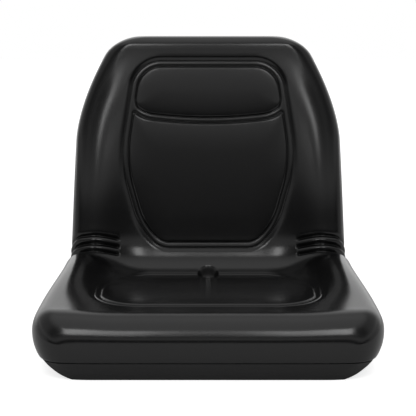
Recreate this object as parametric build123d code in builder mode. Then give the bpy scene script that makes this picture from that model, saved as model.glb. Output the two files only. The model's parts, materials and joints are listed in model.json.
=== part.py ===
"""Utility vehicle seat: a one-piece moulded bucket cushion on two pressed-steel pans.

Frame: +Z is up, the sitter faces -Y, and X = 0 is the plane of symmetry. Millimetres.
The origin is the middle of the four mounting holes, on the underside of the base pan.
"""

import os
from collections import namedtuple
from math import cos, pi, radians, sin, sqrt

from build123d import *

# Moulded form, seen from above and from the front
SEAT_WIDTH = 468.0  # across the base at its widest
CREASE_WIDTH = 448.0  # across the rear of the base
BACK_WIDTH = 431.0  # across the backrest at the bend
BACK_TAPER = 26.0  # how much narrower the backrest is drawn towards the top
NOSE_Y = -228.0  # front-most point
WIDEST_Y = -170.0  # where the base is widest
NOSE_CORNER_WIDTH = 32.0  # rounded front corner, seen from above
NOSE_CORNER_LENGTH = 62.0
SHOULDER_DROP = 165.0  # length of the rounded shoulders
SHOULDER_IN = 56.5  # how far each shoulder comes in
SHOULDER_POWER = 1.7  # how soon the shoulders turn in; higher is later
TOP_CORNER_WIDTH = 40.0  # rounded corner at the top of the backrest
TOP_CORNER_LENGTH = 30.0

# Moulded form, seen from the side
SEAT_FRONT_HEIGHT = 86.0  # top of the front roll
SEAT_REAR_HEIGHT = 61.0  # lowest line of the seat, at the crease
RIM_FRONT_HEIGHT = 89.0  # side bolster beside the front roll
RIM_REAR_HEIGHT = 100.0  # side bolster beside the crease
RIM_RISE_POWER = 0.6  # how soon the side bolster rises behind the front roll; lower is sooner
GIRTH_HEIGHT = 59.0  # height of the widest line of the base
CREASE_Y = 132.0  # axis of the bend between seat and back
CREASE_RADIUS = 50.0  # hollow of the bend on the centre line
RECLINE = 9.0  # degrees
BACK_LENGTH = 332.0  # from the bend axis to the top
BACK_THICKNESS = 50.0  # on the centre line
BACK_BOLSTER = 33.0  # rise of the side bolsters over the centre line
BOLSTER_START = 20.0  # where the bolsters begin, below the top
BOLSTER_FULL = 250.0  # where they reach their full rise, below the top

# Roundings of the form
NOSE_ROUND_TOP = 45.0
NOSE_ROUND_BOTTOM = 21.0
TOP_ROUND_FRONT = 36.0
TOP_ROUND_REAR = 30.0
SIDE_ROUND_TOP = 27.0  # from the outermost line in to the bolster crest
SIDE_FULLNESS = 0.58  # handle length of that rounding; higher is squarer
SIDE_ROUND_BOTTOM = 68.0  # from the outermost line in to the flat underside
BOLSTER_SLOPE = 86.0  # from the bolster crest in to the flat centre
SLOPE_FULLNESS = 0.38  # handle length of that slope; higher is steeper
FLAT_ALLOWANCE = 5.0  # trimmed off the underside and the rear to make them flat
CORNER_SHARPNESS = 10.0  # of the rear lower corner; higher is tighter
TIP_ANGLE = 15.0  # degrees round each end roll where its flat tip starts

# Strips that the form is ruled in, along its length
NOSE_STRIP_COUNT = 4
SEAT_STRIP_COUNT = 8
CREASE_STRIP_COUNT = 8
REST_STRIP_COUNT = 8
TOP_STRIP_COUNT = 4
STRIP_CROWDING = 1.3  # how much closer the strips are towards the nose and the top

# Pans
PAN_THICKNESS = 2.0
PAN_STEP = 1.0  # the pan wall stands back this far under the cushion
PAN_RIM_HEIGHT = 24.5
TAB_HALF_WIDTH = 150.0  # raised rear tab of the base pan, welded to the back pan
TAB_TOP = -20.0  # along the backrest from the bend axis
BACK_PAN_LOW = -62.0
BACK_PAN_KNEE = 150.0
BACK_PAN_HIGH = 292.0
BACK_PAN_HALF_WIDTH = 160.0
BACK_PAN_TOP_HALF_WIDTH = 112.0
BACK_PAN_CORNERS = (45.0, 120.0, 25.0)
RIB_DEPTH = 4.0
RIB_WIDTH = 24.0
RIB_TAPER = 30.0  # degrees
FIELD_MARGIN = 34.0  # from the edge of the back pan to its raised middle
FIELD_DEPTH = 5.0
FIELD_CORNERS = (30.0, 90.0, 24.0)
BACK_RIB_LENGTH = 190.0
BACK_RIB_MIDDLE = 122.0
BACK_RIB_SPACING = 100.0
BASE_RIB_LENGTH = 230.0
BASE_RIB_MIDDLE = -10.0
BASE_RIB_SPACING = 130.0
TRIM_OUTSIDE = 5.0  # edge trim beyond the back pan
TRIM_INSIDE = 8.0  # edge trim lapped over the back pan
TRIM_COVER = 2.5

# Mounting
MOUNT_SPACING_X = 286.0
MOUNT_SPACING_Y = 292.0
HOLE_DIAMETER = 9.0
NUT_BORE = 8.2
NUT_ACROSS_FLATS = 14.0
NUT_HEIGHT = 6.5
POCKET_CLEARANCE = 0.5  # between each nut and the foam round it
POCKET_DEPTH = 26.0  # room in the foam for the screw

# Sunk channels of the cushion
CHANNEL_WIDTH = 10.5
CHANNEL_DEPTH = 3.5
CUT_REACH = 40.0  # half length of the blocks that cut the channels
LOOP_TOP = 291.0  # heights of the loop's corners up the backrest, from the bend axis
LOOP_UPPER = 160.0
LOOP_LOWER = 115.0
LOOP_HIP = 28.0
LOOP_BOTTOM = -4.0
LOOP_TOP_HALF_WIDTH = 115.0
LOOP_UPPER_HALF_WIDTH = 133.5
LOOP_LOWER_HALF_WIDTH = 134.0
LOOP_HIP_HALF_WIDTH = 110.0
LOOP_BOTTOM_HALF_WIDTH = 76.0
LOOP_CORNERS = (48.0, 260.0, 190.0, 110.0, 38.0)
PAD_BREAK = 202.0  # lowest point of the upper pad
UPPER_BREAK_RADIUS = 700.0  # bow of the upper pad's lower edge
LOWER_BREAK_RADIUS = 500.0  # bow of the lower pad's upper edge
UPPER_PAD_CORNER = 15.0
LOWER_PAD_CORNER = 6.0
SEAT_PAD_FRONT = -142.0
SEAT_PAD_WIDE = -30.0
SEAT_PAD_REAR = 134.0
SEAT_PAD_FRONT_HALF_WIDTH = 146.0
SEAT_PAD_HALF_WIDTH = 150.0
SEAT_PAD_REAR_HALF_WIDTH = 114.0
SEAT_PAD_CORNERS = (36.0, 120.0, 60.0)

# Pleats beside the crease
PLEAT_COUNT = 3
PLEAT_FIRST = 10.0  # lowest pleat, from the bend axis
PLEAT_PITCH = 11.0
PLEAT_WIDTH = 4.5
PLEAT_DEPTH = 6.0
PLEAT_INNER = 138.0  # inner end of each pleat, from the centre line
PLEAT_REACH = 62.0  # from the bend axis down the side
PLEAT_ANGLE = 45.0  # degrees

# Drain in the crease
DRAIN_Y = 146.0
DRAIN_BORE = 9.0
DRAIN_TUBE_WALL = 1.5
DRAIN_FLANGE = 20.0
DRAIN_FLANGE_THICKNESS = 2.0
DRAIN_SINK = 5.0  # the flange sits this far under the seat
DRAIN_SCOOP = 30.0  # diameter of the hollow round the flange
DRAIN_CLEARANCE = 0.2

BEZIER_ARC = 0.5523  # handle length that makes a quarter ellipse
FAR = 600.0  # past every part of the seat

# The bend axis, and the two straight stretches that leave it
AXIS_Z = SEAT_REAR_HEIGHT + CREASE_RADIUS
BEND_ANGLE = 90.0 - RECLINE
BACK_DEPTH = CREASE_RADIUS + BACK_THICKNESS  # bend axis to the rear plane
ROLL_Y = NOSE_Y + NOSE_ROUND_TOP

Station = namedtuple("Station", "plane half low girth crest centre")


def bend_plane(angle, outward, along=0.0):
    """Section plane at an angle round the bend axis, with local Y pointing at the axis."""
    a = radians(angle)
    inward = Vector(0, -sin(a), cos(a))
    normal = Vector(0, -cos(a), -sin(a))
    origin = Vector(0, CREASE_Y, AXIS_Z) - inward * outward - normal * along
    return Plane(origin=origin, x_dir=(1, 0, 0), z_dir=normal)


def back_plane(outward):
    """Plane parallel to the backrest: local Y runs up the back, the normal points at the sitter."""
    section = bend_plane(BEND_ANGLE, outward)
    return Plane(origin=section.origin, x_dir=(1, 0, 0), z_dir=section.y_dir)


REAR_PLANE = back_plane(BACK_DEPTH)
FRONT_OF_BACK = back_plane(CREASE_RADIUS)


def rounding(distance, reach):
    """Share of its full height that a rounded edge has gained this far in from its tip."""
    return sqrt(1 - max(0.0, 1 - distance / reach) ** 2)


def eased(share):
    """A share that starts and ends level."""
    return (1 - cos(pi * share)) / 2


def base_station(y, inset):
    """Upright section across the base."""
    tip = y - NOSE_Y - inset
    width_share = eased(max(0.0, (y - WIDEST_Y) / (CREASE_Y - WIDEST_Y)))
    behind_roll = max(0.0, (y - ROLL_Y) / (CREASE_Y - ROLL_Y))
    rim_share = eased(behind_roll**RIM_RISE_POWER)
    fall_share = eased(behind_roll)
    half = SEAT_WIDTH / 2 - (SEAT_WIDTH - CREASE_WIDTH) / 2 * width_share
    crest = RIM_FRONT_HEIGHT + (RIM_REAR_HEIGHT - RIM_FRONT_HEIGHT) * rim_share - inset
    centre = SEAT_FRONT_HEIGHT + (SEAT_REAR_HEIGHT - SEAT_FRONT_HEIGHT) * fall_share - inset
    low = inset - FLAT_ALLOWANCE
    top = rounding(tip, NOSE_ROUND_TOP - inset)
    bottom = rounding(tip, NOSE_ROUND_BOTTOM - inset)
    corner = NOSE_CORNER_WIDTH * (1 - rounding(tip, NOSE_CORNER_LENGTH - inset))
    return Station(
        plane=Plane(origin=(0, y, 0), x_dir=(1, 0, 0), z_dir=(0, -1, 0)),
        half=half - inset - corner,
        low=GIRTH_HEIGHT - (GIRTH_HEIGHT - low) * bottom,
        girth=GIRTH_HEIGHT,
        crest=GIRTH_HEIGHT + (crest - GIRTH_HEIGHT) * top,
        centre=GIRTH_HEIGHT + (centre - GIRTH_HEIGHT) * top,
    )


def bend_station(angle, inset):
    """Section through the bend axis, with the corner of the underside rounded off."""
    to_floor = AXIS_Z / cos(radians(angle))
    to_rear = BACK_DEPTH / cos(radians(BEND_ANGLE - angle))
    outward = (to_floor**-CORNER_SHARPNESS + to_rear**-CORNER_SHARPNESS) ** (-1 / CORNER_SHARPNESS)
    share = eased(angle / BEND_ANGLE)
    crest_radius = (AXIS_Z - RIM_REAR_HEIGHT) * (1 - share) + (CREASE_RADIUS - BACK_BOLSTER) * share
    girth = GIRTH_HEIGHT * (1 - share) + (BACK_THICKNESS + BACK_BOLSTER) / 2 * share
    return Station(
        plane=bend_plane(angle, outward),
        half=(CREASE_WIDTH * (1 - share) + BACK_WIDTH * share) / 2 - inset,
        low=inset - FLAT_ALLOWANCE,
        girth=girth,
        crest=outward - crest_radius - inset,
        centre=outward - CREASE_RADIUS - inset,
    )


def back_station(along, inset):
    """Section across the backrest, this far up from the bend axis."""
    tip = BACK_LENGTH - along
    faded = (tip - BOLSTER_START) / (BOLSTER_FULL - BOLSTER_START)
    fade = eased(min(1.0, max(0.0, faded)))
    crest = BACK_THICKNESS + BACK_BOLSTER * fade
    girth = crest / 2
    inner_tip = tip - inset
    front = rounding(inner_tip, TOP_ROUND_FRONT - inset)
    rear = rounding(inner_tip, TOP_ROUND_REAR - inset)
    taper = BACK_TAPER / 2 * along / BACK_LENGTH
    shoulder = SHOULDER_IN * max(0.0, 1 - tip / SHOULDER_DROP) ** SHOULDER_POWER
    corner = (TOP_CORNER_WIDTH - inset) * (1 - rounding(inner_tip, TOP_CORNER_LENGTH - inset))
    return Station(
        plane=bend_plane(BEND_ANGLE, BACK_DEPTH, along),
        half=BACK_WIDTH / 2 - inset - taper - shoulder - corner,
        low=girth - (girth - inset + FLAT_ALLOWANCE) * rear,
        girth=girth,
        crest=girth + (crest - inset - girth) * front,
        centre=girth + (BACK_THICKNESS - inset - girth) * front,
    )


def nose_station(share, inset):
    """Section through the front roll, from its tip to its top."""
    angle = radians(TIP_ANGLE + (90 - TIP_ANGLE) * share)
    return base_station(NOSE_Y + inset + (NOSE_ROUND_TOP - inset) * (1 - cos(angle)), inset)


def top_station(share, inset):
    """Section through the roll at the top of the back, ending at its tip."""
    angle = radians(90 - (90 - TIP_ANGLE) * share)
    return back_station(BACK_LENGTH - inset - (TOP_ROUND_FRONT - inset) * (1 - cos(angle)), inset)


def seat_station(share, inset):
    """Section of the base between the front roll and the bend, closer together at the front."""
    return base_station(ROLL_Y + (CREASE_Y - ROLL_Y) * share**STRIP_CROWDING, inset)


def crease_station(share, inset):
    """Section part of the way round the bend."""
    return bend_station(BEND_ANGLE * share, inset)


def rest_station(share, inset):
    """Section of the backrest between the bend and the top roll, closer together at the top."""
    return back_station((BACK_LENGTH - TOP_ROUND_FRONT) * (1 - (1 - share) ** STRIP_CROWDING), inset)


# Stretches of the form from nose to top, each with its number of strips
STRETCHES = (
    (nose_station, NOSE_STRIP_COUNT),
    (seat_station, SEAT_STRIP_COUNT),
    (crease_station, CREASE_STRIP_COUNT),
    (rest_station, REST_STRIP_COUNT),
    (top_station, TOP_STRIP_COUNT),
)


def section_points(station, inset):
    """Control points of one closed section: 8 cubic curves, each sharing its last point with the next."""
    half, low, girth, crest, centre = station[1:]
    flat = half - SIDE_ROUND_BOTTOM + inset
    crest_x = half - SIDE_ROUND_TOP + inset
    centre_x = max(crest_x - BOLSTER_SLOPE, crest_x / 4)
    handle = (crest_x - centre_x) * SLOPE_FULLNESS
    right = [
        (flat / 3, low),
        (flat, low),
        (flat + (half - flat) * BEZIER_ARC, low),
        (half, girth - (girth - low) * BEZIER_ARC),
        (half, girth),
        (half, girth + (crest - girth) * SIDE_FULLNESS),
        (crest_x + (half - crest_x) * SIDE_FULLNESS, crest),
        (crest_x, crest),
        (crest_x - handle, crest),
        (centre_x + handle, centre),
        (centre_x, centre),
        (centre_x / 3, centre),
    ]
    left = [(-x, y) for x, y in reversed(right)]
    return [station.plane.from_local_coords(point) for point in right + left]


def curve_points(points, curve):
    """The four control points of one of the 8 curves of a section."""
    first = 1 + 3 * curve
    return [points[(first + k) % len(points)] for k in range(4)]


def form_faces(inset):
    """Ruled strips from nose to top, closed by a flat face at each end."""
    stations = [stretch(k / count, inset) for stretch, count in STRETCHES for k in range(count)]
    stations.append(top_station(1.0, inset))
    sections = [section_points(station, inset) for station in stations]
    faces = []
    for near, far in zip(sections, sections[1:]):
        for curve in range(8):
            rows = [curve_points(near, curve), curve_points(far, curve)]
            faces.append(Face.make_bezier_surface(rows))
    for points in (sections[0], sections[-1]):
        edges = [Edge.make_bezier(*curve_points(points, curve)) for curve in range(8)]
        faces.append(Face(Wire(edges)))
    return faces


def moulding(inset):
    """The seat's whole form drawn in by inset, with a flat underside and a flat rear."""
    pan_inset = max(0.0, inset - PAN_STEP)
    with BuildPart() as form:
        add(Solid(Shell(form_faces(inset))))
        split(bisect_by=Plane.XY.offset(pan_inset), keep=Keep.TOP)
        split(bisect_by=REAR_PLANE.offset(pan_inset), keep=Keep.TOP)
    return form.part


def mirrored_outline(right_corners, radii):
    """Closed outline with rounded corners, from the corners of its right half."""
    left_corners = [(-x, y) for x, y in reversed(right_corners)]
    with BuildSketch() as outline:
        with BuildLine():
            FilletPolyline(*right_corners, *left_corners, radius=[*radii, *reversed(radii)], close=True)
        make_face()
    return outline.sketch


def swages(plane, points, length, width, height):
    """Pressed ribs with sloped sides and round ends, standing up from a plane."""
    with BuildPart() as pressing:
        with BuildSketch(plane):
            with Locations(*points):
                SlotOverall(length, width, rotation=90)
        extrude(amount=height, taper=RIB_TAPER)
    return pressing.part


def hexagons(plane, places, across_flats, height):
    """Hexagon prisms standing on a plane, as parts or as cutters."""
    with BuildPart() as prisms:
        with BuildSketch(plane):
            with places:
                RegularPolygon(across_flats / 2, 6, major_radius=False)
        extrude(amount=height)
    return prisms.part


def discs(plane, places, diameter, height):
    """Round pegs standing on a plane, as cutters for holes."""
    with BuildPart() as pegs:
        with BuildSketch(plane):
            with places:
                Circle(diameter / 2)
        extrude(amount=height)
    return pegs.part


# Planes and places of the pressed and welded features
FLOOR = Plane.XY
FLOOR_INSIDE = FLOOR.offset(PAN_THICKNESS)
OUTWARD = Plane(origin=REAR_PLANE.origin, x_dir=(-1, 0, 0), z_dir=-REAR_PLANE.z_dir)
BACK_PAN_OUTSIDE = OUTWARD.offset(PAN_THICKNESS)
FIELD_INSIDE = OUTWARD.offset(FIELD_DEPTH)
FIELD_OUTSIDE = BACK_PAN_OUTSIDE.offset(FIELD_DEPTH)
mount_places = GridLocations(MOUNT_SPACING_X, MOUNT_SPACING_Y, 2, 2)
drain_place = Locations((0, DRAIN_Y))
base_rib_points = [(side * BASE_RIB_SPACING / 2, BASE_RIB_MIDDLE) for side in (-1, 1)]
back_rib_points = [(side * BACK_RIB_SPACING / 2, BACK_RIB_MIDDLE) for side in (-1, 1)]
drain_tube_outside = DRAIN_BORE + 2 * DRAIN_TUBE_WALL
drain_hole = drain_tube_outside + 2 * DRAIN_CLEARANCE
drain_floor = SEAT_REAR_HEIGHT - DRAIN_SINK
wall = 2 * PAN_THICKNESS  # a pressing is this much wider outside than inside

# Everything outside the foam, up to the rim and the rear tab of the base pan
with BuildPart() as pan_space:
    with BuildSketch(Plane.XY.offset(PAN_RIM_HEIGHT)):
        Rectangle(2 * FAR, 2 * FAR)
    extrude(amount=-2 * PAN_RIM_HEIGHT)
    with BuildSketch(REAR_PLANE):
        with Locations((0, TAB_TOP)):
            Rectangle(2 * TAB_HALF_WIDTH, FAR, align=(Align.CENTER, Align.MAX))
    extrude(amount=CUT_REACH / 2, both=True)
    add(moulding(PAN_STEP + PAN_THICKNESS), mode=Mode.SUBTRACT)

# Base pan: pressed tray with floor ribs, mounting holes, a drain hole and the rear tab
floor_rib_hollows = swages(FLOOR, base_rib_points, BASE_RIB_LENGTH, RIB_WIDTH, RIB_DEPTH)
floor_rib_height = RIB_DEPTH + PAN_THICKNESS
floor_ribs = swages(FLOOR, base_rib_points, BASE_RIB_LENGTH + wall, RIB_WIDTH + wall, floor_rib_height)
with BuildPart() as base_pan:
    add(moulding(PAN_STEP))
    add(pan_space.part, mode=Mode.INTERSECT)
    add(floor_ribs)
    add(floor_rib_hollows, mode=Mode.SUBTRACT)
    add(discs(FLOOR, mount_places, HOLE_DIAMETER, wall), mode=Mode.SUBTRACT)
    add(discs(FLOOR, drain_place, drain_hole, wall), mode=Mode.SUBTRACT)

# Back pan: pressed plate on the rear with a raised middle and two ribs
back_pan_corners = [
    (BACK_PAN_TOP_HALF_WIDTH, BACK_PAN_HIGH),
    (BACK_PAN_HALF_WIDTH, BACK_PAN_KNEE),
    (BACK_PAN_HALF_WIDTH, BACK_PAN_LOW),
]
field_corners = [
    (BACK_PAN_TOP_HALF_WIDTH - FIELD_MARGIN, BACK_PAN_HIGH - FIELD_MARGIN),
    (BACK_PAN_HALF_WIDTH - FIELD_MARGIN, BACK_PAN_KNEE - FIELD_MARGIN / 2),
    (BACK_PAN_HALF_WIDTH - FIELD_MARGIN, BACK_PAN_LOW + FIELD_MARGIN),
]
back_pan_outline = mirrored_outline(back_pan_corners, BACK_PAN_CORNERS)
field_outline = mirrored_outline(field_corners, FIELD_CORNERS)
with BuildPart() as back_pan:
    with BuildSketch(OUTWARD):
        add(back_pan_outline)
    extrude(amount=PAN_THICKNESS)
    with BuildSketch(BACK_PAN_OUTSIDE):
        add(field_outline)
    extrude(amount=FIELD_DEPTH, taper=RIB_TAPER)
    add(swages(FIELD_OUTSIDE, back_rib_points, BACK_RIB_LENGTH + wall, RIB_WIDTH + wall, RIB_DEPTH))
    with BuildSketch(OUTWARD):
        offset(field_outline, amount=-PAN_THICKNESS)
    extrude(amount=FIELD_DEPTH, taper=RIB_TAPER, mode=Mode.SUBTRACT)
    add(swages(FIELD_INSIDE, back_rib_points, BACK_RIB_LENGTH, RIB_WIDTH, RIB_DEPTH), mode=Mode.SUBTRACT)

# Edge trim: a soft strip round the back pan, hooked over its edge
with BuildPart() as back_edge_trim:
    with BuildSketch(OUTWARD):
        offset(back_pan_outline, amount=TRIM_OUTSIDE)
    extrude(amount=PAN_THICKNESS + TRIM_COVER)
    with BuildSketch(OUTWARD):
        add(back_pan_outline)
    extrude(amount=PAN_THICKNESS, mode=Mode.SUBTRACT)
    with BuildSketch(BACK_PAN_OUTSIDE):
        offset(back_pan_outline, amount=-TRIM_INSIDE)
    extrude(amount=TRIM_COVER, mode=Mode.SUBTRACT)

# Nuts welded inside the floor over the mounting holes
with BuildPart() as mount_weld_nuts:
    add(hexagons(FLOOR_INSIDE, mount_places, NUT_ACROSS_FLATS, NUT_HEIGHT))
    add(discs(FLOOR_INSIDE, mount_places, NUT_BORE, NUT_HEIGHT), mode=Mode.SUBTRACT)

# Drain tube from the hollow in the crease down to the pan floor
with BuildPart() as drain_tube:
    add(discs(FLOOR, drain_place, drain_tube_outside, drain_floor))
    add(discs(FLOOR.offset(drain_floor), drain_place, DRAIN_FLANGE, DRAIN_FLANGE_THICKNESS))
    add(discs(FLOOR, drain_place, DRAIN_BORE, FAR), mode=Mode.SUBTRACT)

# Sunk channels round the two back pads and the seat pad
loop_corners = [
    (LOOP_TOP_HALF_WIDTH, LOOP_TOP),
    (LOOP_UPPER_HALF_WIDTH, LOOP_UPPER),
    (LOOP_LOWER_HALF_WIDTH, LOOP_LOWER),
    (LOOP_HIP_HALF_WIDTH, LOOP_HIP),
    (LOOP_BOTTOM_HALF_WIDTH, LOOP_BOTTOM),
]
seat_pad_corners = [
    (SEAT_PAD_REAR_HALF_WIDTH, SEAT_PAD_REAR),
    (SEAT_PAD_HALF_WIDTH, SEAT_PAD_WIDE),
    (SEAT_PAD_FRONT_HALF_WIDTH, SEAT_PAD_FRONT),
]
with BuildSketch() as upper_pad:
    add(mirrored_outline(loop_corners, LOOP_CORNERS))
    offset(amount=-CHANNEL_WIDTH, mode=Mode.REPLACE)
    with Locations((0, PAD_BREAK + UPPER_BREAK_RADIUS)):
        Circle(UPPER_BREAK_RADIUS, mode=Mode.INTERSECT)
    fillet(upper_pad.vertices().group_by(Axis.Y)[0], UPPER_PAD_CORNER)
with BuildSketch() as lower_pad:
    add(mirrored_outline(loop_corners, LOOP_CORNERS))
    offset(amount=-CHANNEL_WIDTH, mode=Mode.REPLACE)
    with Locations((0, PAD_BREAK - CHANNEL_WIDTH + LOWER_BREAK_RADIUS)):
        Circle(LOWER_BREAK_RADIUS, mode=Mode.SUBTRACT)
    fillet(lower_pad.vertices().group_by(Axis.Y)[-1], LOWER_PAD_CORNER)
with BuildSketch() as seat_pad:
    add(mirrored_outline(seat_pad_corners, SEAT_PAD_CORNERS))
with BuildPart() as channels:
    with BuildSketch(FRONT_OF_BACK):
        add(mirrored_outline(loop_corners, LOOP_CORNERS))
        add(upper_pad.sketch, mode=Mode.SUBTRACT)
        add(lower_pad.sketch, mode=Mode.SUBTRACT)
    extrude(amount=CUT_REACH, both=True)
    with BuildSketch(Plane.XY.offset(SEAT_REAR_HEIGHT)):
        offset(seat_pad.sketch, amount=CHANNEL_WIDTH)
        add(seat_pad.sketch, mode=Mode.SUBTRACT)
    extrude(amount=CUT_REACH, both=True)
    add(moulding(CHANNEL_DEPTH), mode=Mode.SUBTRACT)

# Pleats in the bolsters on each side of the crease
pleat_tilt = radians(PLEAT_ANGLE)
pleat_normal = Vector(0, cos(pleat_tilt), sin(pleat_tilt))
with BuildPart() as pleats:
    for k in range(PLEAT_COUNT):
        middle = Vector(0, CREASE_Y, AXIS_Z) + pleat_normal * (PLEAT_FIRST + k * PLEAT_PITCH)
        with BuildSketch(Plane(origin=middle, x_dir=(1, 0, 0), z_dir=pleat_normal)):
            with Locations((PLEAT_INNER, PLEAT_REACH)):
                Rectangle(FAR, FAR, align=(Align.MIN, Align.MAX))
            with Locations((-PLEAT_INNER, PLEAT_REACH)):
                Rectangle(FAR, FAR, align=(Align.MAX, Align.MAX))
        extrude(amount=PLEAT_WIDTH / 2, both=True)
    add(moulding(PLEAT_DEPTH), mode=Mode.SUBTRACT)

# Cushion: vinyl-skinned foam moulded in one over both pans
nut_pocket = NUT_ACROSS_FLATS + 2 * POCKET_CLEARANCE
with BuildPart() as moulded_cushion:
    add(moulding(0.0))
    add(pan_space.part, mode=Mode.SUBTRACT)
    add(floor_ribs, mode=Mode.SUBTRACT)
    add(hexagons(FLOOR_INSIDE, mount_places, nut_pocket, POCKET_DEPTH), mode=Mode.SUBTRACT)
    add(discs(FLOOR, drain_place, drain_hole, drain_floor), mode=Mode.SUBTRACT)
    add(discs(FLOOR.offset(drain_floor), drain_place, DRAIN_SCOOP, CUT_REACH / 2), mode=Mode.SUBTRACT)
    add(channels.part, mode=Mode.SUBTRACT)
    add(pleats.part, mode=Mode.SUBTRACT)

os.makedirs("parts", exist_ok=True)
moulded_cushion.part.label = "moulded_cushion"
export_step(moulded_cushion.part, "parts/moulded_cushion.step")
base_pan.part.label = "base_pan"
export_step(base_pan.part, "parts/base_pan.step")
back_pan.part.label = "back_pan"
export_step(back_pan.part, "parts/back_pan.step")
back_edge_trim.part.label = "back_edge_trim"
export_step(back_edge_trim.part, "parts/back_edge_trim.step")
mount_weld_nuts.part.label = "mount_weld_nuts"
export_step(mount_weld_nuts.part, "parts/mount_weld_nuts.step")
drain_tube.part.label = "drain_tube"
export_step(drain_tube.part, "parts/drain_tube.step")
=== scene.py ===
"""Utility vehicle seat: the moulded vinyl cushion, its steel pans and the studio round them.

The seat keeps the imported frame: +Z up, the sitter faces -Y, metres, and the origin is the
middle of the four mounting holes on the underside of the base pan.
"""

import json
from math import cos, pi, radians, sin

import bmesh
import bpy
import numpy as np
from bpy.props import FloatProperty, FloatVectorProperty, IntProperty, PointerProperty
from mathutils import Matrix, Vector


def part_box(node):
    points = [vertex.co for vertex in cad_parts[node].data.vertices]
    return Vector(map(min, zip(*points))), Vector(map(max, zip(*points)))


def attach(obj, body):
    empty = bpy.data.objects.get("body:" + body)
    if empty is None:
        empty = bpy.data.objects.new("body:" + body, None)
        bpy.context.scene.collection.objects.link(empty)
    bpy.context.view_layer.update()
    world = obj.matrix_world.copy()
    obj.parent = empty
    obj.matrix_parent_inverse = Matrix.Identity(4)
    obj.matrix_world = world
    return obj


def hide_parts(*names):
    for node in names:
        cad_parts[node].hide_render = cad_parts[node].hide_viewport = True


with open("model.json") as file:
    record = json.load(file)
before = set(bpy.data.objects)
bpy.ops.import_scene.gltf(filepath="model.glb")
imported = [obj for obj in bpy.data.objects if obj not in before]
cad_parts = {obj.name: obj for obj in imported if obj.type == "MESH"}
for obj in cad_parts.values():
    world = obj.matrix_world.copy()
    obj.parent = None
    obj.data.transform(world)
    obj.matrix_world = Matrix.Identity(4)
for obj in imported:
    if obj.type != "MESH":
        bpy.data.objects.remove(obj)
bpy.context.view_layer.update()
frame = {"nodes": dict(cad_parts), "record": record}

bl_info = {
    "name": "Utility vehicle seat",
    "version": (1, 0, 0),
    "blender": (4, 5, 0),
    "location": "3D View > Sidebar > Seat",
    "description": "Builds a moulded vinyl bucket seat on pressed steel pans, with its studio",
    "category": "Object",
}

BODY = "root"
IMAGE_PIXELS = 416
MILLIMETRE = 0.001
BEZIER_ARC = 0.5523  # handle length that makes a quarter ellipse
SECTION_CURVES = 8
FRONT_CURVES = (1, 6)  # the curves of a section that face the sitter lie between these
MIRROR_SUM = 7  # curve counts on the two sides of a section that mirror each other add up to this
ELSEWHERE = 1.0  # a distance past every detail
NUT_SIDES = 6
NUT_FACETS = 24
TUBE_FACETS = 64
MERGE_DISTANCE = 0.00002
SLIVER_LENGTH = 0.000005
EASED_EDGE_ANGLE = 28  # degrees; edges that turn more than this are eased
EASED_EDGE_SEGMENTS = 3


def length(name, description, default):
    """A size that a user may change, in metres."""
    return FloatProperty(name=name, description=description, default=default, unit="LENGTH", precision=4)


def angle(name, description, degrees):
    """An angle that a user may change."""
    return FloatProperty(name=name, description=description, default=radians(degrees), subtype="ANGLE")


def factor(name, description, default):
    """A plain number that a user may change."""
    return FloatProperty(name=name, description=description, default=default)


def colour(name, description, default):
    """A linear colour that a user may change."""
    return FloatVectorProperty(
        name=name, description=description, default=default, subtype="COLOR", min=0.0, max=1.0
    )


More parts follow.
